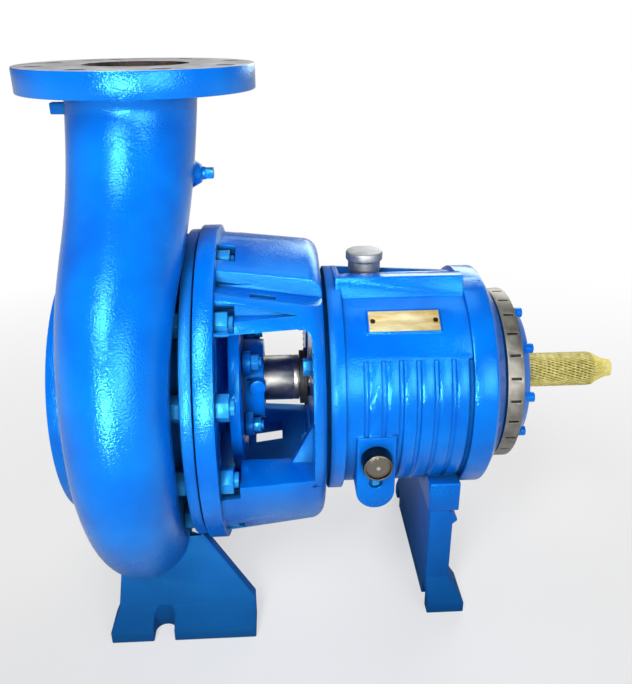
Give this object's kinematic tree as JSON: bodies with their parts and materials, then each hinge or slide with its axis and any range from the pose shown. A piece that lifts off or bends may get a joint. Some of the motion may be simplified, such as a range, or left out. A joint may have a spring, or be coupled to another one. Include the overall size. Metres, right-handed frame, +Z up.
{
  "type": "centrifugal pump",
  "caption": "Horizontal end-suction process pump: scroll casing with top discharge, windowed adapter, ribbed bearing housing, notched adjustable bearing carrier and rear foot.",
  "frame": {"origin": "floor level under the discharge centre line, in the vertical plane of the shaft axis", "axes": "+X along the shaft towards the drive end, +Y away from the side that shows the nameplate, +Z up"},
  "size_m": [0.6342, 0.4156, 0.5969],
  "materials": {
    "blue_enamel": "gloss",
    "bare_iron": "satin",
    "gasket_fibre": "matte",
    "bronze": "satin",
    "stainless": "satin",
    "ceramic": "satin",
    "machined_steel": "satin",
    "black_rubber": "matte",
    "bearing_steel": "polished",
    "brass": "satin",
    "black_steel": "satin",
    "grey_steel": "satin",
    "clear_glass": "gloss",
    "net_plastic": "matte"
  },
  "bodies": {
    "pump_frame": {"casing": "blue_enamel", "casing_gasket": "gasket_fibre", "rear_cover": "bare_iron", "throat_bushing": "bronze", "gland_gasket": "gasket_fibre", "gland": "stainless", "gland_studs": "stainless", "gland_nuts": "stainless", "seal_seat": "ceramic", "adapter": "blue_enamel", "casing_bolts": "blue_enamel", "casing_nuts": "blue_enamel", "frame_screws": "black_steel", "bearing_housing": "blue_enamel", "nameplate": "brass", "nameplate_pins": "machined_steel", "breather_neck": "black_steel", "sight_glass_ring": "black_steel", "sight_glass_lens": "clear_glass", "oil_drain_plug": "blue_enamel", "gauge_plug": "blue_enamel", "inboard_oil_seal": "black_rubber", "rear_foot": "blue_enamel", "foot_bolts": "black_steel"},
    "race_cartridge": {"radial_outer_race": "bearing_steel", "thrust_outer_race": "bearing_steel"},
    "carrier": {"bearing_carrier": "blue_enamel", "outboard_oil_seal": "black_rubber", "retaining_ring": "machined_steel", "carrier_o_ring": "black_rubber"},
    "rotor": {"shaft": "machined_steel", "shaft_sleeve": "stainless", "impeller": "bare_iron", "coupling_key": "machined_steel", "radial_inner_race": "bearing_steel", "thrust_inner_race": "bearing_steel", "locknut": "machined_steel", "lockwasher": "machined_steel", "deflector": "black_rubber", "seal_head": "stainless"},
    "radial_ball_set": {"radial_balls": "bearing_steel", "radial_cage": "brass"},
    "thrust_ball_set": {"thrust_balls": "bearing_steel", "thrust_cage": "brass"},
    "vent_cap": {"breather_cap": "grey_steel"},
    "net_sleeve": {"shaft_net": "net_plastic"}
  },
  "joints": [
    {"name": "carrier_turn", "type": "hinge", "parent": "race_cartridge", "child": "carrier", "pos_m": [0.38, 0, 0.254], "axis": [1, 0, 0], "range_deg": [-43.2, 86.4]},
    {"name": "rotor_shift", "type": "slide", "parent": "pump_frame", "child": "race_cartridge", "axis": [1, 0, 0], "range_m": [-0.0003, 0.0006]},
    {"name": "rotor_spin", "type": "hinge", "parent": "race_cartridge", "child": "rotor", "pos_m": [0.259, 0, 0.254], "axis": [1, 0, 0], "continuous": true},
    {"name": "radial_balls_roll", "type": "hinge", "parent": "race_cartridge", "child": "radial_ball_set", "pos_m": [0.259, 0, 0.254], "axis": [1, 0, 0], "continuous": true},
    {"name": "thrust_balls_roll", "type": "hinge", "parent": "race_cartridge", "child": "thrust_ball_set", "pos_m": [0.259, 0, 0.254], "axis": [1, 0, 0], "continuous": true},
    {"name": "vent_cap_lift", "type": "slide", "parent": "pump_frame", "child": "vent_cap", "axis": [0, 0, 1], "range_m": [0, 0.03]},
    {"name": "net_pull", "type": "slide", "parent": "rotor", "child": "net_sleeve", "axis": [1, 0, 0], "range_m": [0, 0.11]}
  ],
  "couplings": [
    {"joint": "rotor_shift", "follows": "carrier_turn", "m_per_rad": 0.00039789},
    {"joint": "radial_balls_roll", "follows": "rotor_spin", "ratio": 0.38},
    {"joint": "thrust_balls_roll", "follows": "rotor_spin", "ratio": 0.4}
  ]
}
